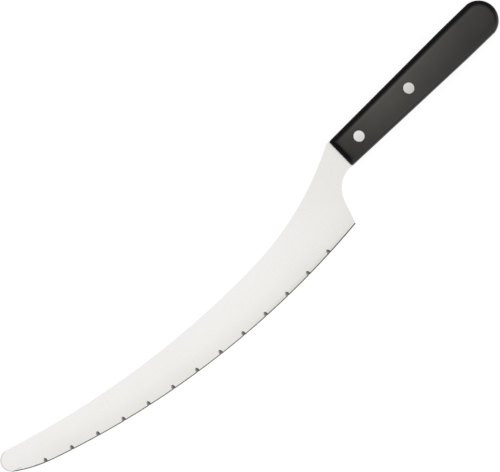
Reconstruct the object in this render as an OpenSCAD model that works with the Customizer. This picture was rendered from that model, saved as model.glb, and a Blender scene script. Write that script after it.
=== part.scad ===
// Cake knife: a long upswept blade with gullets ground along its edge, and a slotted one-piece
// handle riveted round the blade's half tang.
// The knife lies flat on its handle. X runs along the handle towards the butt, Y from the cutting
// edge towards the spine, and Z up through the face that the gullets are ground from.
// Zero is on the flat underside of the handle, midway between the two rivets.
// Plan views are drawn from the middle of the handle's front end, with the tip at minus X.

/* [Blade] */
// Length of the blade from the handle's front end to the tip
blade_l = 255.8; // [225:0.1:290]
// Thickness of the blade's steel
sheet_t = 1.5; // [1.2:0.1:2.2]
// Radius of the cutting edge's long curve
edge_r = 501; // [440:1:600]
// Depth of the edge's lowest point below the handle's axis
edge_drop = 36.5; // [34:0.1:44]
// Radius of the spine's long curve
spine_r = 514; // [450:1:600]
// Depth of the spine's lowest point below the handle's axis
spine_drop = 11.7; // [8:0.1:15]
// Radius of the spine's curve up to the handle
neck_r = 175; // [140:1:220]
// Distance in front of the handle where the spine's curve begins
neck_gap = 2.1; // [1:0.1:6]

/* [Tip and heel] */
// Radius of the rounded tip
tip_r = 6.4; // [4:0.1:8]
// Height of the tip's centre above the handle's axis
tip_rise = 4.5; // [2:0.1:10]
// Radius of the edge's curve into the tip
sweep_r = 78; // [50:1:100]
// Slope of the edge where the rounded tip begins, in degrees
sweep_a = 35; // [30:1:45]
// Radius of the hollow between the heel and the handle
choil_r = 16; // [10:0.5:20]
// Distance in front of the handle where the hollow begins
choil_gap = 1.2; // [1:0.1:5]
// Angle of the heel's straight end from the handle's axis, in degrees
heel_a = 72; // [60:1:85]

/* [Grinding] */
// Width of the tapered grind on each face, measured in from the edge
grind_w = 13.3; // [8:0.1:18]
// Angle between the flat face and the start of the grind, in degrees
grind_a = 0.4; // [0.2:0.1:1]
// Width of the cutting bevel on each face
bevel_w = 0.6; // [0.4:0.1:1]
// Thickness of the steel where the cutting bevel begins
bevel_t = 0.5; // [0.3:0.05:0.8]
// Thickness left at the very edge
edge_t = 0.1; // [0.05:0.05:0.2]

/* [Gullets] */
// Spacing of the gullets along the edge
gullet_pitch = 16.4; // [10:0.1:24]
// Distance along the edge from the heel's corner to the first gullet
gullet_start = 21.9; // [10:0.1:40]
// Length of plain edge kept between the last gullet and the rounded tip
gullet_end = 16; // [12:0.5:36]
// Reach of a gullet in from the edge
gullet_reach = 2.6; // [1.5:0.05:4]
// Width of a gullet at the cutting bevel
gullet_w = 2.4; // [1.5:0.1:3.4]
// Depth of a gullet's floor below the middle of the steel at the edge
gullet_sink = 0.1; // [0.06:0.01:0.2]

/* [Handle] */
// Length of the handle
handle_l = 117.6; // [100:0.1:135]
// Width of the handle at its front end
front_w = 18.75; // [16:0.05:21]
// Full width of the handle
grip_w = 22.1; // [21:0.1:25]
// Distance from the front end at which the handle reaches its full width
grip_x = 88; // [60:1:92]
// How much wider than the handle the curve of its round butt is drawn
butt_spread = 0.3; // [0.2:0.05:2]
// Thickness of the handle
handle_t = 14; // [11:0.5:18]
// Rounding of the long sides and the butt
side_round = 4.5; // [2:0.1:5]
// Rounding of the front end
front_round = 3.5; // [1.5:0.1:4.5]

/* [Tang and rivets] */
// Length of the tang behind the rear rivet
tang_end = 11.6; // [6:0.2:18]
// Corners clipped off the end of the tang
tang_clip = 2; // [0.5:0.1:4]
// Free play between the tang and the slot, on each face
slot_play = 0.05; // [0:0.01:0.2]
// Free length of the slot behind the tang
slot_gap = 0.4; // [0.1:0.1:2]
// Distance of the front rivet from the handle's front end
front_rivet = 14.1; // [9:0.1:25]
// Distance of the rear rivet from the handle's front end
rear_rivet = 52.4; // [36:0.1:55]
// Diameter of the rivet heads
head_d = 6.6; // [5.4:0.1:8]
// Thickness of the rivet heads
head_t = 1.6; // [1:0.1:2.2]
// Bevel round the rim of a rivet head
head_bevel = 0.25; // [0.1:0.05:0.5]
// Outer diameter of a rivet's tube
tube_d = 4; // [3.4:0.1:4.8]
// Diameter of a rivet's post
post_d = 2.5; // [1.8:0.1:2.8]
// Free play round a rivet in the handle, and round its post
rivet_play = 0.05; // [0.02:0.01:0.15]
// Free play round a rivet in the tang
tang_play = 0.15; // [0.05:0.01:0.3]
// Length that the tube and the post stop short of the opposite head
rivet_gap = 1; // [0.3:0.1:2]

/* [Hidden] */
$fn = 96;
// Facets of the long curves and of the small tools
long_fn = 720;
tool_fn = 64;
// How far a cutting tool stands clear of the steel or the handle
clear = 1;
// How far two curves of the blade that meet are drawn into each other, so that they truly cross
bite = 0.02;
// Angle by which the cut round the sweep starts ahead of its end on the tip
sweep_lap = 10;

mid_z = handle_t / 2;
grip_mid = (front_rivet + rear_rivet) / 2;
tang_l = rear_rivet + tang_end;
front_h = front_w / 2;

steel = [0.86, 0.86, 0.85];
black = [0.2, 0.19, 0.18];
rivet_steel = [0.8, 0.8, 0.79];

// Points and directions in plan
function toward(a) = [cos(a), sin(a)];
function bearing(from, to) = atan2(to[1] - from[1], to[0] - from[0]);
// The point at height y that lies at distance d from point p, to the right of it
function right_of(p, d, y) = [p[0] + sqrt(d * d - pow(y - p[1], 2)), y];
// The crossing of two circles on the right-hand side of the way from a to b
function crossing(a, ra, b, rb) =
    let (d = norm(b - a), along = (ra * ra - rb * rb + d * d) / (2 * d), e = (b - a) / d)
    a + along * e + sqrt(ra * ra - along * along) * [e[1], -e[0]];

// Centres of the curves: the rounded tip, the sweep into it, the edge, the spine and the neck
tip_c = [tip_r - blade_l, tip_rise];
sweep_c = tip_c - (sweep_r - tip_r + bite) * toward(270 - sweep_a);
edge_c = right_of(sweep_c, edge_r - sweep_r + bite, edge_r - edge_drop);
spine_c = right_of(tip_c, spine_r + tip_r - bite, spine_r - spine_drop);
neck_c = crossing(spine_c, spine_r - neck_r + bite, [-neck_gap, front_h], neck_r);

// Centre of the hollow at the heel, the point where the heel's straight end leaves it, and the
// heel's corner on the cutting edge
choil_c = [-choil_gap, -front_h - choil_r];
heel_top = choil_c + (choil_r - bite) * toward(90 + heel_a);
heel_way = toward(180 + heel_a);
heel_off = (heel_top - edge_c) * heel_way;
heel_run = sqrt(pow(edge_r, 2) - pow(norm(heel_top - edge_c), 2) + pow(heel_off, 2)) - heel_off;
heel_corner = heel_top + heel_run * heel_way;

// Bearings of the edge's two ends, seen from its centre
sweep_end = bearing(edge_c, sweep_c);
heel_end = bearing(edge_c, heel_corner);

// The grind's section is an arc from the flat face down to the bevel
grind_drop = (sheet_t - bevel_t) / 2;
grind_run = grind_w - bevel_w;
grind_end_a = 2 * atan(grind_drop / grind_run) - grind_a;
grind_arc_r = grind_run / (sin(grind_end_a) - sin(grind_a));
grind_c = [edge_r - grind_w - grind_arc_r * sin(grind_a), sheet_t / 2 - grind_arc_r * cos(grind_a)];
// Half the blade's thickness at a distance in from the edge
function face_z(in) = grind_c[1] + sqrt(pow(grind_arc_r, 2) - pow(edge_r - in - grind_c[0], 2));

// The wheel that grinds a gullet: its radius from the gullet's reach, its nose from the width
gullet_fall = face_z(gullet_reach) + gullet_sink;
wheel_r = (pow(gullet_reach, 2) + pow(gullet_fall, 2)) / (2 * gullet_fall);
nose_fall = bevel_t / 2 + gullet_sink;
nose_r = (pow(gullet_w / 2, 2) + pow(nose_fall, 2)) / (2 * nose_fall);
edge_run = (heel_end - sweep_end) * PI / 180 * edge_r;
sweep_run = (sweep_end + 90 + sweep_a) * PI / 180 * sweep_r;
gullet_n = floor((edge_run + sweep_run - gullet_start - gullet_end) / gullet_pitch) + 1;

// The handle's sides taper from its full width to its front end, and the butt is one arc
side_a = atan((grip_w - front_w) / 2 / grip_x);
butt_r = (grip_w + butt_spread) / 2;
butt_x = handle_l - butt_r;
function side_y(x) = front_h + min(x, grip_x) * tan(side_a);

// A sector cut round an arc of an outline, leaving what lies within radius r of its centre
module round_off(centre, r, from, to) {
    side = 4 * r;
    point = 2 * side * toward((from + to) / 2);
    translate(centre) difference() {
        polygon([[0, 0], side * toward(from), point, side * toward(to)]);
        circle(r, $fn = long_fn);
    }
}

// What is cut from the blank above the spine: its long curve up to the neck, then the neck's own
module spine_cut() {
    joint = spine_c + (spine_r + clear) * toward(bearing(spine_c, neck_c));
    far_left = -blade_l - 2 * clear;
    translate(neck_c) circle(neck_r, $fn = long_fn);
    intersection() {
        translate(spine_c) circle(spine_r, $fn = long_fn);
        polygon([spine_c, joint, [far_left, joint[1]], [far_left, spine_c[1]]]);
    }
}

// What is cut away between the heel and the handle
module heel_cut() {
    heel_low = heel_top + heel_way * 2 * edge_drop;
    translate(choil_c) circle(choil_r);
    polygon([[0, -front_h], [-choil_gap, -front_h], choil_c, heel_top, heel_low, [0, heel_low[1]]]);
}

// The blade in front of the handle, seen from above
module blade_outline() {
    left = -blade_l - clear;
    low = -edge_drop - clear;
    difference() {
        intersection() {
            translate(edge_c) circle(edge_r, $fn = long_fn);
            polygon([
                [left, low], [left, front_w], [-front_w, front_w],
                [-front_w, front_h], [0, front_h], [0, low]
            ]);
        }
        spine_cut();
        round_off(tip_c, tip_r, bearing(tip_c, spine_c), 270 - sweep_a);
        round_off(sweep_c, sweep_r, 270 - sweep_a - sweep_lap, sweep_end + 360);
        heel_cut();
    }
}

// The tang, flush with the handle's sides, seen from above
module tang_outline() {
    end_h = side_y(tang_l) - tang_clip;
    clip_x = tang_l - tang_clip;
    polygon([
        [-choil_gap / 2, -front_h], [0, -front_h], [clip_x, -side_y(clip_x)], [tang_l, -end_h],
        [tang_l, end_h], [clip_x, side_y(clip_x)], [0, front_h], [-choil_gap / 2, front_h]
    ]);
}

// Section of the taper ground off one face, from the edge's centre outwards
module grind_section() {
    difference() {
        translate([edge_r - grind_w, 0]) square([grind_w + clear, sheet_t / 2 + clear]);
        translate(grind_c) circle(grind_arc_r, $fn = long_fn);
    }
}

// Section of the cutting bevel ground off one face of an edge of radius r
module bevel_section(r) {
    top = sheet_t / 2 + clear;
    slope = (bevel_t - edge_t) / 2 / bevel_w;
    inner = r - (top - edge_t / 2) / slope;
    polygon([[inner, top], [r + clear, edge_t / 2 - clear * slope], [r + clear, top]]);
}

// What a section takes off both faces as it goes round a centre
module ground_round(centre, from, to) {
    for (face = [0, 1])
        translate([centre[0], centre[1], mid_z]) mirror([0, 0, face])
            rotate([0, 0, from]) rotate_extrude(angle = to - from, $fn = long_fn) children();
}

// The steel ground off along the cutting edge, and the bevel carried on round the sweep to the tip
module grind_waste() {
    margin = 4;
    ground_round(edge_c, sweep_end - margin, heel_end + margin / 2) grind_section();
    ground_round(edge_c, sweep_end - margin, heel_end + margin / 2) bevel_section(edge_r);
    ground_round(sweep_c, 270 - sweep_a - sweep_lap, sweep_end + 360) bevel_section(sweep_r);
}

// One gullet's grinding wheel, standing on edge across the cutting edge
module gullet_wheel() {
    rotate([90, 0, 0]) rotate_extrude($fn = tool_fn) intersection() {
        translate([wheel_r - nose_r, 0]) circle(nose_r, $fn = tool_fn);
        translate([0, -nose_r]) square([wheel_r, 2 * nose_r]);
    }
}

// A gullet's wheel at a distance along the arc of the edge that starts at the given bearing
module wheel_along(centre, r, from, along) {
    translate([centre[0], centre[1], mid_z]) rotate([0, 0, from - along / r * 180 / PI])
        translate([r, 0, wheel_r - gullet_sink]) gullet_wheel();
}

// All the gullets, counted from the heel along the edge and on into the sweep
module gullets() {
    for (i = [0 : gullet_n - 1]) {
        along = gullet_start + i * gullet_pitch;
        if (along < edge_run) wheel_along(edge_c, edge_r, heel_end, along);
        else wheel_along(sweep_c, sweep_r, sweep_end, along - edge_run);
    }
}

// The handle seen from above
module handle_outline() {
    full_h = grip_w / 2;
    end_x = handle_l + clear;
    difference() {
        polygon([
            [0, -front_h], [0, front_h], [grip_x, full_h],
            [end_x, full_h], [end_x, -full_h], [grip_x, -full_h]
        ]);
        difference() {
            translate([butt_x, -butt_r]) square([butt_r + 2 * clear, 2 * butt_r]);
            translate([butt_x, 0]) circle(butt_r);
        }
    }
}

// A long corner to be rounded: what lies outside the arc, with the corner itself at zero
module corner_section(r) {
    translate([-r, -r]) difference() {
        square(r + clear);
        circle(r);
    }
}

// What is rounded off one long side, from the given point on in the direction given
module side_rounding(from, angle, length) {
    translate(from) rotate([0, 0, angle]) rotate([90, 0, 90])
        linear_extrude(length) corner_section(side_round);
}

// What is rounded off the handle round one face: both long sides, the butt and the front end
module face_rounding() {
    start = [-clear, side_y(-clear)];
    taper_l = grip_x / cos(side_a) + 4 * clear;
    for (side = [0, 1]) mirror([0, side, 0]) {
        side_rounding(start, side_a, taper_l);
        side_rounding([grip_x - 3 * clear, grip_w / 2], 0, handle_l - grip_x + 4 * clear);
    }
    translate([butt_x, 0, 0]) rotate([0, 0, -90])
        rotate_extrude(angle = 180) translate([butt_r, 0]) corner_section(side_round);
    translate([0, front_h + clear, 0]) rotate([90, 0, 0]) linear_extrude(front_w + 2 * clear)
        mirror([1, 0]) corner_section(front_round);
}

// A rivet's stepped hole through the handle
module rivet_bore(x) {
    bore = tube_d + 2 * rivet_play;
    seat = head_d + 2 * rivet_play;
    translate([x, 0, -clear]) {
        cylinder(handle_t + 2 * clear, d = bore);
        cylinder(head_t + clear, d = seat);
        translate([0, 0, clear + handle_t - head_t]) cylinder(head_t + clear, d = seat);
    }
}

// A rivet's head with a bevelled rim, flush with the handle's face above it
module rivet_head() {
    rim_l = head_t - head_bevel;
    cylinder(rim_l, d = head_d);
    translate([0, 0, rim_l]) cylinder(head_bevel, d1 = head_d, d2 = head_d - 2 * head_bevel);
}

// The solid half of a rivet, driven in from the top face
module rivet_post(x) {
    post_l = handle_t - 2 * head_t - rivet_gap;
    translate([x, 0, handle_t - head_t]) {
        rivet_head();
        translate([0, 0, -post_l]) cylinder(post_l, d = post_d);
    }
}

// The hollow half of a rivet, which grips the post, set in from the underside
module rivet_tube(x) {
    tube_l = handle_t - 2 * head_t - rivet_gap;
    translate([x, 0, 0]) difference() {
        union() {
            translate([0, 0, head_t]) mirror([0, 0, 1]) rivet_head();
            translate([0, 0, head_t]) cylinder(tube_l, d = tube_d);
        }
        translate([0, 0, head_t]) cylinder(tube_l + clear, d = post_d + 2 * rivet_play);
    }
}

// Moves a piece from the handle's front end to the point midway between the rivets
module placed() {
    translate([-grip_mid, 0, 0]) children();
}

module blade() {
    color(steel) placed() difference() {
        translate([0, 0, mid_z - sheet_t / 2]) linear_extrude(sheet_t) {
            blade_outline();
            tang_outline();
        }
        grind_waste();
        gullets();
        for (x = [front_rivet, rear_rivet])
            translate([x, 0, mid_z - sheet_t]) cylinder(2 * sheet_t, d = tube_d + 2 * tang_play);
    }
}

module handle() {
    slot_t = sheet_t + 2 * slot_play;
    color(black) placed() difference() {
        linear_extrude(handle_t) handle_outline();
        translate([0, 0, handle_t]) face_rounding();
        mirror([0, 0, 1]) face_rounding();
        translate([-clear, -2 * butt_r, mid_z - slot_t / 2])
            cube([clear + tang_l + slot_gap, 4 * butt_r, slot_t]);
        rivet_bore(front_rivet);
        rivet_bore(rear_rivet);
    }
}

module front_rivet_post() {
    color(rivet_steel) placed() rivet_post(front_rivet);
}

module front_rivet_tube() {
    color(rivet_steel) placed() rivet_tube(front_rivet);
}

module rear_rivet_post() {
    color(rivet_steel) placed() rivet_post(rear_rivet);
}

module rear_rivet_tube() {
    color(rivet_steel) placed() rivet_tube(rear_rivet);
}

blade();
handle();
front_rivet_post();
front_rivet_tube();
rear_rivet_post();
rear_rivet_tube();
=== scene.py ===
import math

import bmesh
import bpy
import numpy as np
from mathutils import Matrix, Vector
from mathutils.geometry import delaunay_2d_cdt


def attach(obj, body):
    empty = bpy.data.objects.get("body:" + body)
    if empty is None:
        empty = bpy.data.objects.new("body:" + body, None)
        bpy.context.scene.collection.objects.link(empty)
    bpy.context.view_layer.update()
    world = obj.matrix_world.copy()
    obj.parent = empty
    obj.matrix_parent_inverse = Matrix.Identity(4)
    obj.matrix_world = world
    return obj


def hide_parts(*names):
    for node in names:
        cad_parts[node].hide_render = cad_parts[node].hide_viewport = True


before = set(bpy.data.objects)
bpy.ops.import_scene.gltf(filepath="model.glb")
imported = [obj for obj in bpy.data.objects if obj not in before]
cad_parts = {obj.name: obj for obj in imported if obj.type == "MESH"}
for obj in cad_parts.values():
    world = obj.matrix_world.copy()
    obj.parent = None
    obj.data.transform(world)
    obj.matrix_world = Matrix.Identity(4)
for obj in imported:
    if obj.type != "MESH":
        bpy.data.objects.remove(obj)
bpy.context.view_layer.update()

MM = 0.001

# The knife's sizes in millimetres, as the solids have them. Plan views are drawn from the middle
# of the handle's front end, with X towards the butt and Y towards the spine.
BLADE_L, SHEET_T = 255.8, 1.5
EDGE_R, EDGE_DROP = 501, 36.5
SPINE_R, SPINE_DROP = 514, 11.7
NECK_R, NECK_GAP = 175, 2.1
TIP_R, TIP_RISE = 6.4, 4.5
SWEEP_R, SWEEP_A = 78, 35
CHOIL_R, CHOIL_GAP, HEEL_A = 16, 1.2, 72
GRIND_W, GRIND_A = 13.3, 0.4
BEVEL_W, BEVEL_T, EDGE_T = 0.6, 0.5, 0.1
GULLET_PITCH, GULLET_START, GULLET_N = 16.4, 21.9, 13
GULLET_REACH, GULLET_W, GULLET_SINK = 2.6, 2.4, 0.1
EDGE_STOP = GULLET_START + (GULLET_N - 1) * GULLET_PITCH + GULLET_W
HANDLE_L, HANDLE_T = 117.6, 14
FRONT_W, GRIP_W, GRIP_X, BUTT_SPREAD = 18.75, 22.1, 88, 0.3
SIDE_ROUND, FRONT_ROUND = 4.5, 3.5
TANG_L, TANG_CLIP, SLOT_PLAY, SLOT_GAP = 64, 2, 0.05, 0.4
RIVETS = (14.1, 52.4)
HEAD_D, HEAD_T, TUBE_D = 6.6, 1.6, 4
RIVET_PLAY, TANG_PLAY = 0.05, 0.15

MID_Z = HANDLE_T / 2
GRIP_MID = sum(RIVETS) / 2
FRONT_H, GRIP_H = FRONT_W / 2, GRIP_W / 2

# Angle by which the ground bevel goes on past the sweep's end at the tip
SWEEP_LAP = 10
# Angle by which the bevel's line starts short of the heel's corner
HEEL_TRIM = 0.02
# Angle over which the freshly honed strip runs out at the sweep's end
HONED_FADE = 2

# Detail that only the visible model has, in millimetres
EASED = 0.12
CORNER_R = 1.0
CROWN_R = 110

# How finely curves are divided: steps in millimetres, a turn in degrees, and numbers of points
EDGE_STEP, SPINE_STEP, NECK_STEP = 1.5, 2, 1.5
SWEEP_STEP, TIP_STEP, CHOIL_STEP, HOLE_STEP = 1, 0.35, 0.6, 0.3
SWEEP_TURN = 0.7
HEEL_POINTS, MOUTH_POINTS, NOTCH_POINTS = 12, 5, 7
FLOOR_ROWS, FLOOR_COLUMNS, FLOOR_SHARE = 22, 9, 0.86
CORNER_STEPS, BUTT_STEPS, RING_STEPS = 5, 72, 72
SIDE_POINTS, FRONT_POINTS, ROUND_POINTS = 50, 16, 19
# Where the points on the handle's straight sides begin
SIDE_START = 5

# Depths of the rows of points within the blade, the steps along them and the angles past its ends
GROUND_DEPTHS, GROUND_STEP, GROUND_LAP = (1.5, 2.6, 3.9, 5.4, 7.1, 9, 11, 13.3, 15.6), 2, 6
FLAT_START, FLAT_STOP, FLAT_APART, FLAT_STEP, FLAT_LAP = 18.5, 60, 3.5, 4, 20

# How far the slot's cutter reaches out in front of the handle
SLOT_AHEAD = 5

# The grid of points within the handle's faces
GRID_START, GRID_HALF, GRID_ALONG, GRID_ACROSS = 4, 7.8, 1.5, 1.2

# Distances that keep points clear of lines, in millimetres
LINE_CLEAR, GULLET_CLEAR, SEAT_CLEAR = 0.45, 0.3, 0.4
NOTCH_CLEAR_W, NOTCH_CLEAR_U = 0.2, 0.6
HONED_CLEAR, HONED_LEAST, BLUNT_LEAST, EASE_LEAST = 0.15, 0.05, 0.02, 0.04
# How far the searches for the notch's depth and the bevel's width go, and in how many tries
NOTCH_SEARCH, BEVEL_SEARCH = (0, 0.25, 2001), (0, 3, 601)
# Play in telling which faces are a gullet's floor, and how far up such a face looks at least
FLOOR_MARGIN, RIM_MARGIN, HEIGHT_MARGIN, FLOOR_UP = 0.1, 0.01, 0.001, 0.2
# Height below which a flat triangle is only rounding, on a straight stretch of an outline
SLIVER = 1e-4
# Distances within which points are one: in an outline, in a fill, and in a mesh, there in metres
OUTLINE_WELD, FILL_WELD, MESH_WELD = 1e-5, 1e-6, 1e-8

# Places of the gullets' floors and the honed strip, whose materials carry painted shade, among the blade's
# materials
GULLET_ZONE, HONED_ZONE = 1, 2

# Angles from which an edge between two faces is sharp
BLADE_SHARP, HANDLE_SHARP = 12, 25

# Colours of the surfaces
# Painted shade: the steel darkens towards the cutting edge on its ground face
STEEL_SHADE_TO_EDGE = (0.785, 0.772, 0.74)
STEEL_MID = (0.85, 0.833, 0.806)
STEEL_SPINE = (0.852, 0.842, 0.836)
STEEL_HEEL = (0.762, 0.752, 0.722)
# Painted shade on the steel beside the bevel, near the heel
STEEL_SHADE_BY_BEVEL = (0.66, 0.65, 0.625)
# Painted shade round the rim of the tip
STEEL_SHADE_ON_TIP = (0.67, 0.665, 0.65)
# The honed strip's dark tones are painted shade, a dark reflection, with its grind lines between them; the
# heel's is darkest
HONED_SHADE_LOW = (0.11, 0.108, 0.102)
HONED_SHADE_HIGH = (0.18, 0.176, 0.167)
HONED_SHADE_HEEL = (0.03, 0.029, 0.027)
# Painted shade and light on the gullets' floors: shaded at the edge and on the flank facing the tip, lit on
# the other
GULLET_IN_SHADE = (0.1, 0.099, 0.094)
GULLET_IN_LIGHT = (0.36, 0.355, 0.34)
# The rivet heads carry painted light and shade: the rear one darker than the front one, each lighter towards
# the spine
RIVET_TONES = {"front": (0.7, 0.7, 0.68), "rear": (0.62, 0.62, 0.6)}
RIVET_SHADED, RIVET_LIT = 0.88, 1.08
FACE_DARK = (0.008, 0.0078, 0.0074)
FACE_PALE = (0.012, 0.0117, 0.0112)
# Painted shade: the rims' blacker colour
RIM_SHADE_BLACK = (0.003, 0.003, 0.003)
# Painted sheen: the tint of the face's reflection
FACE_SHEEN = (1.0, 0.95, 0.88)
# Painted shade: the rims' dimmed reflection
RIM_SHADE_TINT = (0.05, 0.05, 0.05)
FACE_GLOSS = 0.8

# Depths in from the edge, in millimetres, over which the steel's tone changes: the ground face's painted
# shade, the flat's tone, the painted shade beside the bevel and the gullets' painted shade
GROUND_TONE, FLAT_TONE, BEVEL_SHADE, GULLET_SHADE = (0.6, 12.0), (10.0, 26.0), (0.6, 3.2), (0.0, 1.8)
# Ways along the edge over which it changes, from the lowest point of its circle towards the heel: at the
# tip, at the heel, in the honed strip's painted shade, and where the painted shade beside the bevel comes
# and goes
TIP_TONE, HEEL_TONE, HEEL_BEVEL_TONE = (-175.0, -145.0), (-20.0, 90.0), (-20.0, 70.0)
SHADE_COMES, SHADE_GOES = (-37.0, -10.0), (37.0, 59.0)
# The painted shade on the rim of the tip, by distance from its centre in millimetres and by the way along in
# metres
TIP_RIM, TIP_FRONT = (5.0, 6.1), (-0.001, 0.002)

# Parts of the normal over which the handle's face gives way to its rims, darker with painted shade: upwards,
# where it leans to the cutting edge's side and elsewhere, then towards the spine, the butt and the blade
UP_BY_EDGE, UP_ELSEWHERE, EDGE_LEAN = (0.5, 1.2), (0.68, 0.97), (-0.45, -0.15)
SPINE_LEAN, BUTT_LEAN, BLADE_LEAN = (0.12, 0.76), (0.15, 0.7), (-0.42, 0.0)
# Lean towards the spine over which a rim becomes rougher, and by how much
ROUGH_LEAN, ROUGHER = (-0.6, 0.1), 0.55
# Parts of the normal, along the handle, over which a gullet's flank goes from painted shade to painted light
FLANK_LEAN = (-0.25, 0.45)
# Where the handle's painted sheen changes: across it in metres, and along it in millimetres from its front
SHEEN_ACROSS = (-0.011, 0.008)
SHEEN_FRONT, SHEEN_BY_BLADE, SHEEN_BUTT = (0, 36), (1.5, 5.5), (40, HANDLE_L + 7)

# Parts of a noise's values that a tone follows
WIDE, MIDDLE = (0.2, 0.8), (0.3, 0.7)

# How bright the sky, the floor's paint and its glow are
SKY_LIGHT, FLOOR_PAINT, FLOOR_GLOW = 0.8, 0.2, 0.86
# Softboxes: bearing and height in degrees, distance and size in metres, and how bright they glow
LAMPS = {
    "side_softbox": (-90, 20, 1.3, (2.2, 0.9), 1.4),
    "high_softbox": (90, 55, 1.6, (1.2, 0.7), 1.4),
}

# The camera looks straight down, turned so that the handle points to the upper right
VIEW_X, VIEW_Y = -101.0, 2.14
VIEW_W = 277.5
VIEW_TURN = math.radians(-44)
LENS, SENSOR, CLIP_END = 400, 36, 20
# The floor's width in metres
FLOOR_SIZE = 12


def toward(a):
    """The unit vector at a bearing in degrees."""
    return np.array([math.cos(math.radians(a)), math.sin(math.radians(a))])


def bearing(p, q):
    """The bearing of q from p in degrees."""
    return math.degrees(math.atan2(q[1] - p[1], q[0] - p[0]))


def right_of(p, d, y):
    """The point at height y that lies at distance d from p, to the right of it."""
    return np.array([p[0] + math.sqrt(d * d - (y - p[1]) ** 2), y])


def crossing(a, ra, b, rb):
    """The crossing of two circles on the right-hand side of the way from a to b."""
    d = np.linalg.norm(b - a)
    e = (b - a) / d
    along = (ra * ra - rb * rb + d * d) / (2 * d)
    return a + along * e + math.sqrt(ra * ra - along * along) * np.array([e[1], -e[0]])


# Centres of the blade's curves
TIP_C = np.array([TIP_R - BLADE_L, TIP_RISE])
SWEEP_C = TIP_C - (SWEEP_R - TIP_R) * toward(270 - SWEEP_A)
EDGE_C = right_of(SWEEP_C, EDGE_R - SWEEP_R, EDGE_R - EDGE_DROP)
SPINE_C = right_of(TIP_C, SPINE_R + TIP_R, SPINE_R - SPINE_DROP)
NECK_END = np.array([-NECK_GAP, FRONT_H])
NECK_C = crossing(SPINE_C, SPINE_R - NECK_R, NECK_END, NECK_R)
CHOIL_C = np.array([-CHOIL_GAP, -FRONT_H - CHOIL_R])
HEEL_TOP = CHOIL_C + CHOIL_R * toward(90 + HEEL_A)
HEEL_WAY = toward(180 + HEEL_A)
heel_off = (HEEL_TOP - EDGE_C) @ HEEL_WAY
heel_run = math.sqrt(EDGE_R ** 2 - np.sum((HEEL_TOP - EDGE_C) ** 2) + heel_off ** 2) - heel_off
HEEL_CORNER = HEEL_TOP + heel_run * HEEL_WAY
SWEEP_END = bearing(EDGE_C, SWEEP_C)
HEEL_END = bearing(EDGE_C, HEEL_CORNER)
EDGE_RUN = math.radians(HEEL_END - SWEEP_END) * EDGE_R

# The grind's section is an arc from the flat face down to the bevel
grind_run = GRIND_W - BEVEL_W
grind_start = math.sin(math.radians(GRIND_A))
grind_end = math.sin(2 * math.atan((SHEET_T - BEVEL_T) / 2 / grind_run) - math.radians(GRIND_A))
GRIND_R = grind_run / (grind_end - grind_start)
GRIND_C = (EDGE_R - GRIND_W - GRIND_R * grind_start, SHEET_T / 2 - GRIND_R * math.sqrt(1 - grind_start ** 2))


def depth(p):
    """How far in from the cutting edge's circle a plan point lies."""
    return EDGE_R - np.linalg.norm(p - EDGE_C, axis=-1)


def sweep_depth(p):
    """How far in from the sweep's circle a plan point lies, large away from the sweep."""
    away = np.asarray(p) - SWEEP_C
    turn = np.degrees(np.arctan2(away[..., 1], away[..., 0]))
    near = (turn < SWEEP_END) & (turn > -90 - SWEEP_A - SWEEP_LAP)
    return np.where(near, SWEEP_R - np.linalg.norm(away, axis=-1), EDGE_R)


def bevel_half(d):
    """Half the thickness that the cutting bevel leaves at a depth in from the edge."""
    return (EDGE_T + (BEVEL_T - EDGE_T) * np.maximum(d, 0) / BEVEL_W) / 2


def ground_half(d):
    """Half the thickness that the taper leaves at a depth in from the edge's circle."""
    d = np.asarray(d, float)
    r = np.clip(EDGE_R - d - GRIND_C[0], -GRIND_R, GRIND_R)
    return np.where(d < GRIND_W, GRIND_C[1] + np.sqrt(GRIND_R ** 2 - r ** 2), SHEET_T / 2)


def half(d):
    """Half the steel's thickness at a depth in from the edge's circle."""
    return np.minimum(bevel_half(d), ground_half(d))


def half_at(p):
    """Half the steel's thickness at a plan point, with the bevel that goes on round the sweep."""
    return np.minimum(half(depth(p)), bevel_half(sweep_depth(p)))


# The wheel that grinds a gullet
gullet_fall = float(half(GULLET_REACH)) + GULLET_SINK
WHEEL_R = (GULLET_REACH ** 2 + gullet_fall ** 2) / (2 * gullet_fall)
nose_fall = BEVEL_T / 2 + GULLET_SINK
NOSE_R = ((GULLET_W / 2) ** 2 + nose_fall ** 2) / (2 * nose_fall)


def gullet_floor(u, w):
    """Height of a gullet's floor above the middle of the steel, u along the edge and w in from it."""
    r = WHEEL_R - NOSE_R + np.sqrt(np.maximum(NOSE_R ** 2 - np.asarray(u) ** 2, 0))
    return WHEEL_R - GULLET_SINK - np.sqrt(np.maximum(r ** 2 - np.asarray(w) ** 2, 0))


def gullet_rim(w, side):
    """Half the gullet's width at depth w, where it leaves the upper face (1) or the lower one (-1)."""
    r = np.sqrt((WHEEL_R - GULLET_SINK - side * half(w)) ** 2 + np.asarray(w) ** 2)
    return np.sqrt(np.maximum(NOSE_R ** 2 - (r - WHEEL_R + NOSE_R) ** 2, 0))


def arc(centre, r, start, stop, step=None, count=None):
    """Points along an arc, a step apart or in a number of steps, as numpy pairs."""
    count = count or max(2, math.ceil(math.radians(abs(stop - start)) * r / step))
    return [centre + r * toward(a) for a in np.linspace(start, stop, count + 1)]


def edge_place(along):
    """The edge's curve at a distance along it from the heel: its centre, its radius and the bearing."""
    if along < EDGE_RUN:
        return EDGE_C, EDGE_R, HEEL_END - math.degrees(along / EDGE_R)
    return SWEEP_C, SWEEP_R, SWEEP_END - math.degrees((along - EDGE_RUN) / SWEEP_R)


def gullet_along(i):
    """How far along the edge from the heel gullet i lies."""
    return GULLET_START + i * GULLET_PITCH


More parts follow.
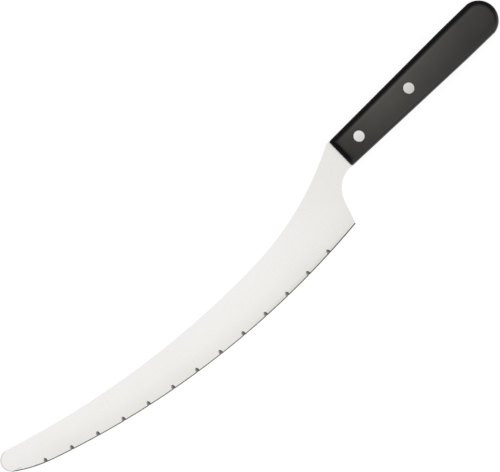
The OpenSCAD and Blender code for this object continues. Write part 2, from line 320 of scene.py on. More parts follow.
def gullet_frame(i):
    """The edge's point at the middle of gullet i, and the ways out from it and towards the heel."""
    centre, r, turn = edge_place(gullet_along(i))
    out = toward(turn)
    return centre + r * out, out, np.array([-out[1], out[0]])


def from_gullet(i, u, w):
    """The plan point at u along the edge and w in from it, seen from gullet i."""
    origin, out, back = gullet_frame(i)
    return origin - w * out + u * back


def in_gullet(i, p):
    """How far plan points lie along the edge and in from it, seen from gullet i."""
    origin, out, back = gullet_frame(i)
    return (p - origin) @ back, (origin - p) @ out


def mouth_point(i, u):
    """The point on the edge at u along it from gullet i."""
    centre, r, turn = edge_place(gullet_along(i) - u)
    return centre + r * toward(turn)


def even_odd(loop, points):
    """Which points lie inside a loop."""
    x, y = points[:, :1], points[:, 1:]
    ax, ay = loop[:, 0], loop[:, 1]
    bx, by = np.roll(ax, -1), np.roll(ay, -1)
    with np.errstate(divide="ignore", invalid="ignore"):
        cross = ((ay > y) != (by > y)) & (x < (bx - ax) * (y - ay) / (by - ay) + ax)
    return cross.sum(1) % 2 == 1


def fill(loops, lines, points):
    """Triangles inside the first loop and outside the others, along the lines and through the points."""
    edges, base = [], 0
    for chain, closed in [(c, True) for c in loops] + [(c, False) for c in lines]:
        edges += [(base + i, base + i + 1) for i in range(len(chain) - 1)]
        if closed:
            edges.append((base + len(chain) - 1, base))
        base += len(chain)
    given = np.array([tuple(p) for chain in [*loops, *lines, points] for p in chain])
    made, _, faces, origin, _, _ = delaunay_2d_cdt([Vector(p) for p in given], edges, [], 0, FILL_WELD)
    # The triangulation works in single precision, so each point goes back to where it was given
    flat = np.array([given[group[0]] if group else tuple(v) for v, group in zip(made, origin)])
    place = {k: i for i, group in enumerate(origin) for k in group}
    tris = np.array(faces)
    middle = flat[tris].mean(1)
    keep = even_odd(np.array(loops[0]), middle)
    for hole in loops[1:]:
        keep &= ~even_odd(np.array(hole), middle)
    a, b, c = (flat[tris[:, k]] for k in range(3))
    twice_area = (b[:, 0] - a[:, 0]) * (c[:, 1] - a[:, 1]) - (b[:, 1] - a[:, 1]) * (c[:, 0] - a[:, 0])
    longest = np.max([np.linalg.norm(side, axis=1) for side in (a - b, b - c, c - a)], 0)
    keep &= np.abs(twice_area) > SLIVER * longest
    tris = np.where(twice_area[:, None] > 0, tris, tris[:, ::-1])[keep]
    rims, base = [], 0
    for loop in loops:
        rims.append([place[base + i] for i in range(len(loop))])
        base += len(loop)
    return flat, tris, rims


def plate(top, bottom, top_z, bottom_z):
    """A closed body between two fills of the same loops, as vertices and faces."""
    (top_p, top_t, top_rims), (low_p, low_t, low_rims) = top, bottom
    verts = np.vstack([np.column_stack([top_p, top_z]), np.column_stack([low_p, bottom_z])])
    faces = [tuple(t) for t in top_t] + [tuple(t[::-1] + len(top_p)) for t in low_t]
    for upper, lower in zip(top_rims, low_rims):
        for i in range(len(upper)):
            j = (i + 1) % len(upper)
            faces.append((upper[i], lower[i] + len(top_p), lower[j] + len(top_p), upper[j]))
    return verts, faces


def make_object(name, verts, faces, sharp):
    """A smooth mesh object from millimetre vertices in the plan's place, sharp from an angle on."""
    mesh = bpy.data.meshes.new(name)
    placed = (np.asarray(verts, float) - (GRIP_MID, 0, 0)) * MM
    mesh.from_pydata(placed.tolist(), [], [tuple(int(k) for k in f) for f in faces])
    bm = bmesh.new()
    bm.from_mesh(mesh)
    bmesh.ops.remove_doubles(bm, verts=bm.verts, dist=MESH_WELD)
    bmesh.ops.recalc_face_normals(bm, faces=bm.faces)
    bm.to_mesh(mesh)
    bm.free()
    mesh.polygons.foreach_set("use_smooth", [True] * len(mesh.polygons))
    mesh.set_sharp_from_angle(angle=math.radians(sharp))
    piece = bpy.data.objects.new(name, mesh)
    bpy.context.scene.collection.objects.link(piece)
    return piece


def side_y(x):
    """Half the handle's width at x."""
    return FRONT_H + min(x, GRIP_X) * (GRIP_H - FRONT_H) / GRIP_X


def cutting_edge():
    """The edge from the heel past the last gullet, notched at each one, as points and top heights."""
    points, heights = [], []

    def follow(start, stop):
        for along in np.linspace(start, stop, math.ceil((stop - start) / EDGE_STEP) + 1):
            centre, r, turn = edge_place(along)
            points.append(centre + r * toward(turn))
            heights.append(EDGE_T / 2)

    notch_w = np.linspace(*NOTCH_SEARCH)
    open_w = notch_w[gullet_rim(notch_w, -1) > 0].max()
    deep = open_w * np.sin(np.linspace(0, math.pi / 2, NOTCH_POINTS))[1:]
    mouth, notch = float(gullet_rim(0, 1)), float(gullet_rim(0, -1))
    last = 0
    for i in range(GULLET_N):
        follow(last, gullet_along(i) - mouth)
        for u in np.linspace(mouth, notch, MOUTH_POINTS)[1:]:
            points.append(mouth_point(i, u))
            heights.append(float(gullet_floor(u, 0)))
        for w in deep:
            points.append(from_gullet(i, float(gullet_rim(w, -1)), w))
            heights.append(-float(half(w)))
        for w in deep[-2::-1]:
            points.append(from_gullet(i, -float(gullet_rim(w, -1)), w))
            heights.append(-float(half(w)))
        for u in np.linspace(notch, mouth, MOUTH_POINTS)[:-1]:
            points.append(mouth_point(i, -u))
            heights.append(float(gullet_floor(u, 0)))
        last = gullet_along(i) + mouth
    follow(last, EDGE_STOP)
    return points, heights


def no_repeats(points):
    """The points of a loop without those that lie on the one before."""
    return [p for i, p in enumerate(points) if np.linalg.norm(p - points[i - 1]) > OUTLINE_WELD]


def rest_of_outline():
    """The outline from the last gullet round the tip, along the spine, round the tang and to the heel."""
    points = arc(SWEEP_C, SWEEP_R, edge_place(EDGE_STOP)[2], -90 - SWEEP_A, SWEEP_STEP)
    points += arc(TIP_C, TIP_R, -90 - SWEEP_A, bearing(TIP_C, SPINE_C) - 360, TIP_STEP)
    joint = bearing(SPINE_C, NECK_C)
    points += arc(SPINE_C, SPINE_R, bearing(SPINE_C, TIP_C), joint, SPINE_STEP)
    points += arc(NECK_C, NECK_R, joint, bearing(NECK_C, NECK_END), NECK_STEP)
    clip_x = TANG_L - TANG_CLIP
    end_h = side_y(TANG_L) - TANG_CLIP
    tang = [(0, FRONT_H), (clip_x, side_y(clip_x)), (TANG_L, end_h)]
    points += [np.array(p) for p in tang + [(x, -y) for x, y in tang[::-1]]]
    points += arc(CHOIL_C, CHOIL_R, 90, 90 + HEEL_A, CHOIL_STEP)
    points += [HEEL_TOP + f * (HEEL_CORNER - HEEL_TOP) for f in np.linspace(0, 1, HEEL_POINTS)[1:-1]]
    return no_repeats(points)[1:]


def inset(points, width):
    """Outline points moved in by a width each."""
    p = np.array(points)
    way = np.roll(p, -1, 0) - np.roll(p, 1, 0)
    way /= np.linalg.norm(way, axis=1)[:, None]
    return p + np.column_stack([way[:, 1], -way[:, 0]]) * width[:, None]


def bevel_line():
    """Where the cutting bevel meets the ground face, from the heel round the sweep to the tip."""
    line = arc(EDGE_C, EDGE_R - BEVEL_W, HEEL_END - HEEL_TRIM, SWEEP_END, EDGE_STEP)
    for a in np.arange(SWEEP_END - SWEEP_TURN, -90 - SWEEP_A - SWEEP_LAP, -SWEEP_TURN):
        out = toward(a)
        d = np.linspace(*BEVEL_SEARCH)
        p = SWEEP_C + (SWEEP_R - d)[:, None] * out
        d = d[np.argmax(bevel_half(d) >= half(depth(p)))]
        line.append(SWEEP_C + (SWEEP_R - d) * out)
    return line[:-1]


def honed_width(a):
    """Width of the freshly ground strip along the edge, which runs out at the sweep's end."""
    return BEVEL_W * min(1, max(0, (a + 90 + SWEEP_A + HONED_FADE / 2) / HONED_FADE))


def honed_line(ridge):
    """The inner side of that strip where the bevel's whole face is wider, round the sweep."""
    line = []
    for p in ridge:
        a = bearing(SWEEP_C, p)
        wide = SWEEP_R - np.linalg.norm(p - SWEEP_C) > BEVEL_W + HONED_CLEAR
        if wide and a < SWEEP_END and honed_width(a) > HONED_LEAST:
            line.append(SWEEP_C + (SWEEP_R - honed_width(a)) * toward(a))
    return line


def blade_rows(ring, lines):
    """Points in rows that follow the edge, within the blade and clear of its lines and gullets."""
    rows = []
    for d in GROUND_DEPTHS:
        rows += arc(EDGE_C, EDGE_R - d, HEEL_END + GROUND_LAP, SWEEP_END - GROUND_LAP, GROUND_STEP)
    for d in np.arange(FLAT_START, FLAT_STOP, FLAT_APART):
        rows += arc(EDGE_C, EDGE_R - d, HEEL_END + FLAT_LAP, SWEEP_END - GROUND_LAP, FLAT_STEP)
    rows = np.array(rows)
    rows = rows[even_odd(ring, rows)]
    near = np.min(np.linalg.norm(rows[:, None] - lines[None], axis=2), axis=1)
    rows = rows[near > LINE_CLEAR]
    for i in range(GULLET_N):
        u, w = in_gullet(i, rows)
        rows = rows[~((np.abs(u) < GULLET_W / 2 + GULLET_CLEAR) & (w < GULLET_REACH + GULLET_CLEAR))]
    return rows


def gullet_lines():
    """The gullets' rims in the upper face, and the points on their floors."""
    rims, floors = [], []
    reach = GULLET_REACH * np.sin(np.linspace(0, math.pi / 2, FLOOR_ROWS))
    mouth = float(gullet_rim(0, 1))
    for i in range(GULLET_N):
        side = [(float(gullet_rim(w, 1)), float(w)) for w in reach[1:-1]]
        bend = side + [(0.0, GULLET_REACH)] + [(-u, w) for u, w in side[::-1]]
        rim = [from_gullet(i, u, w) for u, w in bend]
        rims.append([mouth_point(i, mouth), *rim, mouth_point(i, -mouth)])
        for half_w, w in side:
            for share in np.linspace(-FLOOR_SHARE, FLOOR_SHARE, FLOOR_COLUMNS):
                if w > NOTCH_CLEAR_W or abs(share * half_w) > NOTCH_CLEAR_U:
                    floors.append(from_gullet(i, share * half_w, w))
    return rims, floors


def make_blade():
    """The blade with its tang: two faces filled between the same outlines, then set to their heights."""
    edge_p, edge_z = cutting_edge()
    rest_p = rest_of_outline()
    outline = edge_p + rest_p
    rest = np.array(rest_p)
    face_z = half_at(rest)
    face_z[rest[:, 0] > -CHOIL_GAP] = SHEET_T / 2
    # The edges of the steel are eased where they are thick enough to be felt
    ease = EASED * np.clip((face_z - BEVEL_T / 2) / (SHEET_T / 2 - BEVEL_T / 2), 0, 1)
    top_out = np.concatenate([edge_z, face_z - ease])
    low_out = np.concatenate([-half_at(np.array(edge_p)), ease - face_z])

    moved_in = np.concatenate([[EASED], np.maximum(ease, EASE_LEAST), [EASED]])
    inner_rest = inset([edge_p[-1]] + rest_p + [outline[0]], moved_in)[1:-1]
    blunt = [p for p, e in zip(inner_rest, ease) if e > BLUNT_LEAST]
    ridge = bevel_line()
    ring = np.array(outline)
    rows = blade_rows(ring, np.array(outline[::2] + ridge + blunt))
    ridge = [p for p in ridge if even_odd(ring, np.array([p]))[0]]
    lines = [ridge, honed_line(ridge), blunt]
    gullets, floors = gullet_lines()
    holes = [arc(np.array([x, 0]), TUBE_D / 2 + TANG_PLAY, 0, 360, HOLE_STEP)[:-1] for x in RIVETS]
    top = fill([outline] + holes, lines + gullets, list(rows) + floors)
    low = fill([outline] + holes, lines, list(rows))

    def face(flat):
        return np.where(flat[:, 0] > -CHOIL_GAP, SHEET_T / 2, half_at(flat))

    top_z, low_z = face(top[0]), -face(low[0])
    for i in range(GULLET_N):
        u, w = in_gullet(i, top[0])
        close = (np.abs(u) < GULLET_W) & (w < 2 * GULLET_REACH)
        top_z[close] = np.minimum(top_z[close], gullet_floor(u[close], np.maximum(w[close], 0)))
    top_z[top[2][0]] = top_out
    low_z[low[2][0]] = low_out
    piece = make_object("knife_blade", *plate(top, low, MID_Z + top_z, MID_Z + low_z), BLADE_SHARP)
    mark_zones(piece)
    return piece


def mark_zones(piece):
    """Gives the gullets' floors and the honed strip their own materials, which carry painted shade."""
    for face in piece.data.polygons:
        middle = np.array(face.center) / MM + (GRIP_MID, 0, -MID_Z)
        plan, full = middle[:2], float(half_at(middle[:2]))
        in_sweep = float(sweep_depth(plan))
        width = honed_width(bearing(SWEEP_C, plan)) if in_sweep < EDGE_R else BEVEL_W
        if min(float(depth(plan)), in_sweep) < width and plan[0] < HEEL_CORNER[0]:
            face.material_index = HONED_ZONE
        for i in range(GULLET_N):
            u, w = in_gullet(i, plan)
            if abs(u) < GULLET_W / 2 and w < GULLET_REACH + FLOOR_MARGIN and face.normal.z > FLOOR_UP:
                within = abs(u) < float(gullet_rim(max(w, 0.0), 1)) + RIM_MARGIN
                if within and middle[2] < full + HEIGHT_MARGIN:
                    face.material_index = GULLET_ZONE


def handle_ring(drop):
    """The handle's outline where its rounded edges have fallen by drop below the face."""
    def moved_in(r):
        return r - math.sqrt(r * r - (r - drop) ** 2) if drop < r else 0.0

    side, front = moved_in(SIDE_ROUND), moved_in(FRONT_ROUND)
    h0, h1, r = FRONT_H - side, GRIP_H - side, GRIP_H + BUTT_SPREAD / 2 - side
    butt_x = HANDLE_L - GRIP_H - BUTT_SPREAD / 2
    lean = math.degrees(math.atan((GRIP_H - FRONT_H) / GRIP_X))
    corner = np.array([front + CORNER_R, h0 - CORNER_R])
    upper = arc(corner, CORNER_R, 180, 90 + lean, count=CORNER_STEPS)
    straight = np.linspace(SIDE_START, GRIP_X, SIDE_POINTS)
    upper += [np.array([x, h0 + (h1 - h0) * x / GRIP_X]) for x in straight]
    turn = math.degrees(math.asin(h1 / r))
    butt = arc(np.array([butt_x, 0]), r, turn, -turn, count=BUTT_STEPS)
    lower = [np.array([p[0], -p[1]]) for p in upper[::-1]]
    front_y = np.linspace(-h0 + CORNER_R, h0 - CORNER_R, FRONT_POINTS)[1:-1]
    return upper + butt + lower + [np.array([front, y]) for y in front_y]


def crown(flat):
    """How far the handle's upper face has fallen at plan points."""
    return flat[:, 1] ** 2 / (2 * CROWN_R)


def ring_at(x, r, z):
    """A ring of points round a rivet's axis, at one height or at the height of a face."""
    ring = np.array(arc(np.array([x, 0]), r, 0, 360, count=RING_STEPS)[:-1])
    return np.column_stack([ring, np.full(len(ring), z) if np.isscalar(z) else z(ring)])


def bands(rings):
    """Vertices and quads between rings that follow each other."""
    n = len(rings[0])
    faces = []
    for k in range(len(rings) - 1):
        for i in range(n):
            j = (i + 1) % n
            faces.append((k * n + i, k * n + j, (k + 1) * n + j, (k + 1) * n + i))
    return np.vstack(rings), faces


def joined(parts):
    """One set of vertices and faces from several; equal vertices are merged in make_object."""
    verts, faces = [], []
    for points, polygons in parts:
        base = sum(len(v) for v in verts)
        verts.append(points)
        faces += [tuple(base + int(k) for k in f) for f in polygons]
    return np.vstack(verts), faces


def under_side(flat):
    """Heights of the handle's flat lower face."""
    return np.zeros(len(flat))


def top_side(flat):
    """Heights of its crowned upper face."""
    return HANDLE_T - crown(flat)


def make_handle():
    """The handle: rounded sides, two faces with a crown on the upper one, rivet holes and the slot."""
    falls = [SIDE_ROUND * (1 - math.sin(math.radians(a))) for a in np.linspace(0, 90, ROUND_POINTS)]
    rings = []
    for side, drop in [(-1, d) for d in falls[::-1]] + [(1, d) for d in falls]:
        flat = np.array(handle_ring(drop))
        z = HANDLE_T - drop - crown(flat) if side > 0 else np.full(len(flat), drop)
        rings.append(np.column_stack([flat, z]))
    parts = [bands(rings)]

    face_ring = handle_ring(0)
    seat_r, bore_r = HEAD_D / 2 + RIVET_PLAY, TUBE_D / 2 + RIVET_PLAY
    seats = [list(ring_at(x, seat_r, 0)[:, :2]) for x in RIVETS]
    columns = np.arange(GRID_START, HANDLE_L, GRID_ALONG)
    across = np.arange(-GRID_HALF, GRID_HALF + GRID_ACROSS / 2, GRID_ACROSS)
    grid = np.array([(x, y) for x in columns for y in across])
    grid = grid[even_odd(np.array(face_ring), grid)]
    edges = np.array(face_ring + seats[0] + seats[1])
    grid = grid[np.min(np.linalg.norm(grid[:, None] - edges[None], axis=2), axis=1) > SEAT_CLEAR]
    for x in RIVETS:
        grid = grid[np.linalg.norm(grid - (x, 0), axis=1) > seat_r]
    for height in (under_side, top_side):
        flat, tris, _ = fill([face_ring] + seats, [], list(grid))
        parts.append((np.column_stack([flat, height(flat)]), tris))
    for x in RIVETS:
        parts.append(bands([
            ring_at(x, seat_r, under_side), ring_at(x, seat_r, HEAD_T), ring_at(x, bore_r, HEAD_T),
            ring_at(x, bore_r, HANDLE_T - HEAD_T), ring_at(x, seat_r, HANDLE_T - HEAD_T),
            ring_at(x, seat_r, top_side),
        ]))
    shell = make_object("knife_handle", *joined(parts), HANDLE_SHARP)
    cut(shell, slot_cutter())
    shell.data.set_sharp_from_angle(angle=math.radians(HANDLE_SHARP))
    return shell


def slot_cutter():
    """The slot for the tang, open to the front and to both sides."""
    slot_h = SHEET_T / 2 + SLOT_PLAY
    x0, x1, y = -SLOT_AHEAD, TANG_L + SLOT_GAP, 2 * GRIP_W
    plan = ((x0, -y), (x1, -y), (x1, y), (x0, y))
    verts = [(*corner, z) for z in (MID_Z - slot_h, MID_Z + slot_h) for corner in plan]
    faces = [(3, 2, 1, 0), (4, 5, 6, 7), (0, 1, 5, 4), (1, 2, 6, 5), (2, 3, 7, 6), (3, 0, 4, 7)]
    return make_object("slot", verts, faces, BLADE_SHARP)


def cut(piece, cutter):
    """Cuts the cutter out of a piece and removes it."""
    step = piece.modifiers.new("cut", "BOOLEAN")
    step.operation = "DIFFERENCE"
    step.solver = "EXACT"
    step.object = cutter
    graph = bpy.context.evaluated_depsgraph_get()
    made = bpy.data.meshes.new_from_object(piece.evaluated_get(graph))
    piece.modifiers.clear()
    piece.data = made
    bpy.data.objects.remove(cutter)


def make_camera():
    """A long lens straight above the knife."""
    data = bpy.data.cameras.new("camera")
    data.lens = LENS
    data.sensor_width = SENSOR
    data.clip_end = CLIP_END
    camera = bpy.data.objects.new("camera", data)
    bpy.context.scene.collection.objects.link(camera)
    camera.location = (VIEW_X * MM, VIEW_Y * MM, (MID_Z + VIEW_W * LENS / SENSOR) * MM)
    camera.rotation_euler = (0, 0, VIEW_TURN)
    bpy.context.scene.camera = camera


class Nodes:
    """A short way to write a node tree: add(type, socket values and links)."""

    def __init__(self, tree):
        self.tree = tree
        tree.nodes.clear()

    def add(self, kind, inputs=None, **settings):
        node = self.tree.nodes.new(kind)
        for name, value in settings.items():
            setattr(node, name, value)
        for name, value in (inputs or {}).items():
            socket = node.inputs[name]
            if isinstance(value, bpy.types.NodeSocket):
                self.tree.links.new(value, socket)
            else:
                socket.default_value = value
        return node

    def math(self, operation, *values):
        return self.add("ShaderNodeMath", dict(enumerate(values)), operation=operation).outputs[0]


def seen_by_eye(n):
    """1 for rays from the camera, off gloss or through glass, and 0 for the rays that light things."""
    path = n.add("ShaderNodeLightPath").outputs
    straight_or_gloss = n.math("MAXIMUM", path["Is Camera Ray"], path["Is Glossy Ray"])
    return n.math("MAXIMUM", straight_or_gloss, path["Is Transmission Ray"])


def make_world():
    """A white sky, a little dimmer where it lights things than where it is seen."""
    world = bpy.data.worlds.new("world")
    world.use_nodes = True
    bpy.context.scene.world = world
    n = Nodes(world.node_tree)
    strength = n.add("ShaderNodeMix", {0: seen_by_eye(n), 2: SKY_LIGHT, 3: 1.0}).outputs[0]
    back = n.add("ShaderNodeBackground", {"Color": (1, 1, 1, 1), "Strength": strength})
    n.add("ShaderNodeOutputWorld", {"Surface": back.outputs[0]})


def make_floor():
    """A white floor that glows for the eye alone, so that it keeps the knife's shadow."""
    bpy.ops.mesh.primitive_plane_add(size=FLOOR_SIZE, location=(0, 0, 0))
    floor = bpy.context.object
    floor.name = "floor"
    material = bpy.data.materials.new("floor")
    material.use_nodes = True
    n = Nodes(material.node_tree)
    paint = n.add("ShaderNodeBsdfDiffuse", {"Color": (FLOOR_PAINT, FLOOR_PAINT, FLOOR_PAINT, 1)})
    glow = n.add("ShaderNodeEmission", {"Color": (1, 1, 1, 1), "Strength": FLOOR_GLOW})
    none = n.add("ShaderNodeEmission", {"Strength": 0.0})
    mix = n.add("ShaderNodeMixShader", {0: seen_by_eye(n), 1: none.outputs[0], 2: glow.outputs[0]})
    both = n.add("ShaderNodeAddShader", {0: paint.outputs[0], 1: mix.outputs[0]})
    n.add("ShaderNodeOutputMaterial", {"Surface": both.outputs[0]})
    floor.data.materials.append(material)


def make_lamp(name, bearing_a, height_a, distance, size, glow):
    """A softbox that faces the knife, from its bearing and height in degrees, as bright as glow."""
    data = bpy.data.lights.new(name, "AREA")
    data.shape = "RECTANGLE"
    data.size, data.size_y = size
    data.energy = glow * math.pi * size[0] * size[1]
    lamp = bpy.data.objects.new(name, data)
    bpy.context.scene.collection.objects.link(lamp)
    out = toward(bearing_a) * math.cos(math.radians(height_a))
    lamp.location = distance * Vector((out[0], out[1], math.sin(math.radians(height_a))))
    lamp.rotation_euler = (-lamp.location).to_track_quat("-Z", "Y").to_euler()


def new_material(name):
    """A material and its empty node tree."""
    material = bpy.data.materials.new(name)
    material.use_nodes = True
    return material, Nodes(material.node_tree)


def ramp(n, value, low, high, from_value=0.0, to_value=1.0):
    """Runs smoothly from one number to another while the value goes from low to high."""
    sockets = {"Value": value, "From Min": low, "From Max": high, "To Min": from_value, "To Max": to_value}
    return n.add("ShaderNodeMapRange", sockets, interpolation_type="SMOOTHSTEP").outputs[0]


def product(n, first, *others):
    """The product of two numbers or more."""
    for other in others:
        first = n.math("MULTIPLY", first, other)
    return first


def blend(n, share, first, second, way="MIX"):
    """Mixes two colours, each a socket or a triple."""
    def colour(c):
        return c if isinstance(c, bpy.types.NodeSocket) else (*c, 1)

    sockets = {0: share, 6: colour(first), 7: colour(second)}
    return n.add("ShaderNodeMix", sockets, data_type="RGBA", blend_type=way).outputs[2]


def noise(n, where, scale, detail):
    """A noise between 0 and 1."""
    return n.add("ShaderNodeTexNoise", {"Vector": where, "Scale": scale, "Detail": detail}).outputs[0]


def finish_surface(n, colour, roughness, bump, strength, distance, **others):
    """Ends a material with one principled shader, with a bump and other sockets set by their names."""
    raised = {"Height": bump, "Strength": strength, "Distance": distance}
    normal = n.add("ShaderNodeBump", raised).outputs[0]
    sockets = {"Base Color": colour, "Roughness": roughness, "Normal": normal}
    sockets.update({name.replace("_", " "): value for name, value in others.items()})
    bsdf = n.add("ShaderNodeBsdfPrincipled", sockets)
    n.add("ShaderNodeOutputMaterial", {"Surface": bsdf.outputs[0]})


def round_centre(n, place, centre):
    """The plan vector from a centre in the blade's plan, and its length in millimetres."""
    middle = Vector(((centre[0] - GRIP_MID) * MM, centre[1] * MM, 0))
    away = n.add("ShaderNodeVectorMath", {0: place, 1: middle}, operation="SUBTRACT").outputs[0]
    flat = n.add("ShaderNodeVectorMath", {0: away, 1: (1, 1, 0)}, operation="MULTIPLY").outputs[0]
    length = n.add("ShaderNodeVectorMath", {0: flat}, operation="LENGTH").outputs["Value"]
    return n.add("ShaderNodeSeparateXYZ", {0: flat}).outputs, n.math("DIVIDE", length, MM)


def round_the_edge(n):
    """The place, the depth in from the cutting edge's circle and the way along it in millimetres."""
    place = n.add("ShaderNodeTexCoord").outputs["Object"]
    parts, radius = round_centre(n, place, EDGE_C)
    turn = n.math("ARCTAN2", parts[0], n.math("MULTIPLY", parts[1], -1.0))
    inward = n.math("SUBTRACT", float(EDGE_R), radius)
    along = n.math("MULTIPLY", turn, float(EDGE_R))
    return place, inward, along


def lines_across(n, along, inward, stretch, scale, detail):
    """Fine lines that run in from the edge, as a noise stretched that way."""
    where = n.add("ShaderNodeCombineXYZ", {0: along, 1: n.math("MULTIPLY", inward, stretch)}).outputs[0]
    return noise(n, where, scale, detail)


def steel_finish_and_shade():
    """Satin steel with fine lines across the blade, toned at the heel and the tip, with painted shade
    towards the edge, by the bevel and on the tip's rim.
    """
    material, n = new_material("blade_steel")
    place, inward, along = round_the_edge(n)
    lines = lines_across(n, along, inward, stretch=0.02, scale=6.0, detail=3.0)
    broad = noise(n, place, scale=30.0, detail=1.0)
    # Painted shade on the ground face towards the edge, partly lifted near the tip
    tone = blend(n, ramp(n, inward, *GROUND_TONE), STEEL_SHADE_TO_EDGE, STEEL_MID)
    tone = blend(n, ramp(n, inward, *FLAT_TONE), tone, STEEL_SPINE)
    tone = blend(n, ramp(n, along, *TIP_TONE, 0.5, 0.0), tone, STEEL_SPINE)
    tone = blend(n, ramp(n, along, *HEEL_TONE, 0.0, 0.8), tone, STEEL_HEEL)
    # Painted shade beside the bevel, coming and going along the edge near the heel
    stretch = product(n, ramp(n, along, *SHADE_COMES, 0.0, 0.75), ramp(n, along, *SHADE_GOES, 1.0, 0.1))
    shaded = product(n, stretch, ramp(n, inward, *BEVEL_SHADE, 1.0, 0.0))
    tone = blend(n, shaded, tone, STEEL_SHADE_BY_BEVEL)
    parts, from_tip = round_centre(n, place, TIP_C)
    # Painted shade round the front of the tip's rim
    rim = product(n, ramp(n, from_tip, *TIP_RIM), ramp(n, parts[0], *TIP_FRONT, 1.0, 0.0))
    tone = blend(n, rim, tone, STEEL_SHADE_ON_TIP)
    shade = product(n, ramp(n, lines, *WIDE, 0.992, 1.008), ramp(n, broad, *WIDE, 0.99, 1.01))
    tint = n.add("ShaderNodeCombineXYZ", {0: shade, 1: shade, 2: shade}).outputs[0]
    toned = blend(n, 1.0, tone, tint, "MULTIPLY")
    roughness = ramp(n, lines, *WIDE, 0.24, 0.31)
    finish_surface(n, toned, roughness, lines, strength=0.02, distance=0.00002, Metallic=1.0)
    return material


def gullet_finish_and_shade():
    """The gullets' coarser floors with painted shade, darkest at the edge and on the flank that faces the
    tip.
    """
    material, n = new_material("gullet_steel")
    place, inward, _ = round_the_edge(n)
    grit = noise(n, place, scale=2500.0, detail=3.0)
    lean = n.add("ShaderNodeSeparateXYZ", {0: n.add("ShaderNodeTexCoord").outputs["Normal"]}).outputs[0]
    # Painted light and shade: the flank facing the heel is lit, the one facing the tip and the edge are
    # shaded
    flank = blend(n, ramp(n, lean, *FLANK_LEAN), GULLET_IN_SHADE, GULLET_IN_LIGHT)
    colour = blend(n, ramp(n, inward, *GULLET_SHADE, 0.6, 0.0), flank, GULLET_IN_SHADE)
    roughness = ramp(n, grit, *MIDDLE, 0.36, 0.48)
    finish_surface(n, colour, roughness, grit, strength=0.2, distance=0.00003, Metallic=1.0)
    return material


def bevel_finish_and_shade():
    """The honed strip along the edge, ground across it, with painted shade that is darker towards the heel.
    """
    material, n = new_material("bevel_steel")
    _, inward, along = round_the_edge(n)
    lines = lines_across(n, along, inward, stretch=0.1, scale=9.0, detail=2.0)
    # Painted shade, a dark reflection, over the grind lines, deepest towards the heel
    plain = blend(n, ramp(n, lines, *MIDDLE), HONED_SHADE_LOW, HONED_SHADE_HIGH)
    colour = blend(n, ramp(n, along, *HEEL_BEVEL_TONE), plain, HONED_SHADE_HEEL)
    roughness = ramp(n, lines, *MIDDLE, 0.3, 0.38)
    finish_surface(n, colour, roughness, lines, strength=0.1, distance=0.00002, Metallic=1.0)
    return material


def rivet_finish_and_light(name, colour):
    """Rivet heads linished along the handle, with painted light that makes them lighter towards the spine.
    """
    material, n = new_material(name)
    coords = n.add("ShaderNodeTexCoord").outputs
    drawn_out = {"Vector": coords["Object"], "Scale": (60.0, 6000.0, 6000.0)}
    lines = noise(n, n.add("ShaderNodeMapping", drawn_out).outputs[0], scale=1.0, detail=3.0)
    # Painted light: each head lighter towards the spine
    across = n.add("ShaderNodeSeparateXYZ", {0: coords["Generated"]}).outputs[1]
    share = n.math("ADD", ramp(n, across, 0.0, 1.0, 0.0, 0.8), ramp(n, lines, *MIDDLE, 0.0, 0.2))
    darker, lighter = [tuple(f * c for c in colour) for f in (RIVET_SHADED, RIVET_LIT)]
    tone = blend(n, share, darker, lighter)
    roughness = ramp(n, lines, *MIDDLE, 0.26, 0.34)
    finish_surface(n, tone, roughness, lines, strength=0.15, distance=0.00002, Metallic=1.0)
    return material


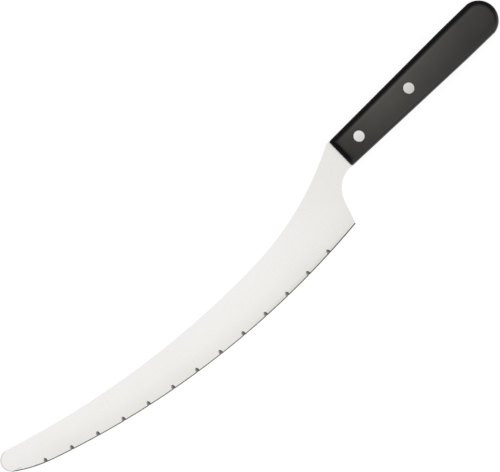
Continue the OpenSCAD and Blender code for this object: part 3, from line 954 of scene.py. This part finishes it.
def handle_finish_and_light():
    """Black satin plastic with a painted sheen on its face, and rims that are rougher and darker with
    painted shade, least so on the cutting edge's side.
    """
    material, n = new_material("handle_plastic")
    coords = n.add("ShaderNodeTexCoord").outputs
    place = coords["Object"]
    x, y, _ = n.add("ShaderNodeSeparateXYZ", {0: place}).outputs
    ahead, spineward, up = n.add("ShaderNodeSeparateXYZ", {0: coords["Normal"]}).outputs
    low, high = [ramp(n, spineward, *EDGE_LEAN, *ends) for ends in zip(UP_BY_EDGE, UP_ELSEWHERE)]
    # Where this mask falls off, the rims take painted shade
    face = product(
        n,
        ramp(n, n.math("ABSOLUTE", up), low, high),
        ramp(n, spineward, *SPINE_LEAN, 1.0, 0.0),
        ramp(n, ahead, *BLADE_LEAN),
        ramp(n, ahead, *BUTT_LEAN, 1.0, 0.0),
    )
    shaded = product(n, n.math("SUBTRACT", 1.0, face), ramp(n, spineward, *ROUGH_LEAN))

    def from_front(ends, start, end):
        return ramp(n, x, *((end_x - GRIP_MID) * MM for end_x in ends), start, end)

    # Painted sheen: brighter towards the spine and in the handle's middle, dimmer by the blade, at the front
    # and at the butt
    sheen = product(
        n,
        ramp(n, y, *SHEEN_ACROSS, 0.66, 1.0),
        from_front(SHEEN_BY_BLADE, 0.5, 1.0),
        from_front(SHEEN_FRONT, 0.55, 1.0),
        from_front(SHEEN_BUTT, 1.0, 0.58),
    )
    painted_sheen_tint = blend(n, sheen, (0.0, 0.0, 0.0), FACE_SHEEN)
    grain = noise(n, place, scale=3200.0, detail=2.0)
    cloud = noise(n, place, scale=90.0, detail=2.0)
    satin = blend(n, ramp(n, cloud, *MIDDLE), FACE_DARK, FACE_PALE)
    base = n.math("ADD", ramp(n, face, 0.0, 1.0, 0.34, 0.42), product(n, shaded, ROUGHER))
    roughness = n.math("ADD", base, ramp(n, grain, *MIDDLE, -0.03, 0.03))
    # Painted shade on the rims and painted sheen on the face, through the colour and the reflection's tint
    finish_surface(n, blend(n, face, RIM_SHADE_BLACK, satin), roughness, grain, strength=0.12, distance=0.00002,
                   Specular_Tint=blend(n, face, RIM_SHADE_TINT, painted_sheen_tint), Specular_IOR_Level=FACE_GLOSS)
    return material


bpy.context.scene.view_settings.view_transform = "Standard"
make_camera()
make_world()
make_floor()
for name, settings in LAMPS.items():
    make_lamp(name, *settings)

blade, handle = make_blade(), make_handle()
# The blade's materials, whose tones carry painted shade
blade_surfaces = (steel_finish_and_shade(), gullet_finish_and_shade(), bevel_finish_and_shade())
for piece, node, slot, surfaces in (
    (blade, "blade", "blade_steel", blade_surfaces),
    (handle, "handle", "handle_plastic", (handle_finish_and_light(),)),
):
    zones = [0] * len(piece.data.polygons)
    piece.data.polygons.foreach_get("material_index", zones)
    piece.data.materials.clear()
    for material in surfaces:
        piece.data.materials.append(material)
    piece.data.polygons.foreach_set("material_index", zones)
    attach(piece, "root")
    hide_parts(node)
for name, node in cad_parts.items():
    end = name.split("_")[0]
    if end in RIVET_TONES:
        node.data.materials.clear()
        node.data.materials.append(rivet_finish_and_light(name + "_steel", RIVET_TONES[end]))
